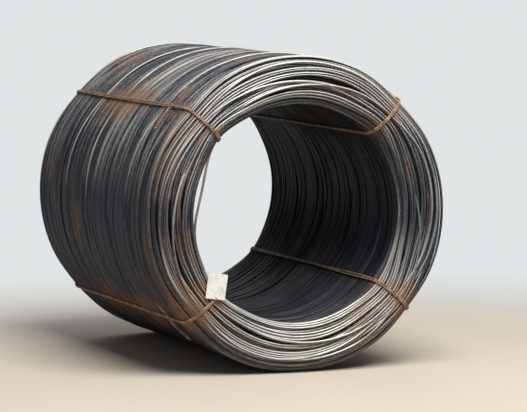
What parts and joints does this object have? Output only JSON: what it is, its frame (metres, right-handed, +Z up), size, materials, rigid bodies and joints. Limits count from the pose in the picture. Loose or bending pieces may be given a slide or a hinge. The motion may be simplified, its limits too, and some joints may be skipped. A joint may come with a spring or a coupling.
{
  "type": "coil of wire rod",
  "caption": "Hot-rolled steel wire rod laid in a thick ring-shaped coil with an open eye, tied with wires round its section, with a small blank tag in the mouth of the eye.",
  "frame": {"origin": "on the floor under the middle of the coil, which lies on its barrel", "axes": "+Y along the coil's axis, from the end with the tag to the other end; +Z up; +X to the right as seen from the end with the tag"},
  "size_m": [1.25, 1.5071, 1.2499],
  "materials": {
    "mill_scale_rod": "blue-grey mill scale with light rust and dust",
    "rusty_tie_wire": "rusted soft steel wire",
    "white_tag": "plain white plastic",
    "tag_wire": "dull bright wire"
  },
  "bodies": {
    "root": {"rod_coil": "mill_scale_rod", "tie_upper_right": "rusty_tie_wire", "tie_upper_left": "rusty_tie_wire", "tie_lower_left": "rusty_tie_wire", "tie_lower_right": "rusty_tie_wire", "tag": "white_tag", "tag_wire": "tag_wire"}
  },
  "joints": []
}
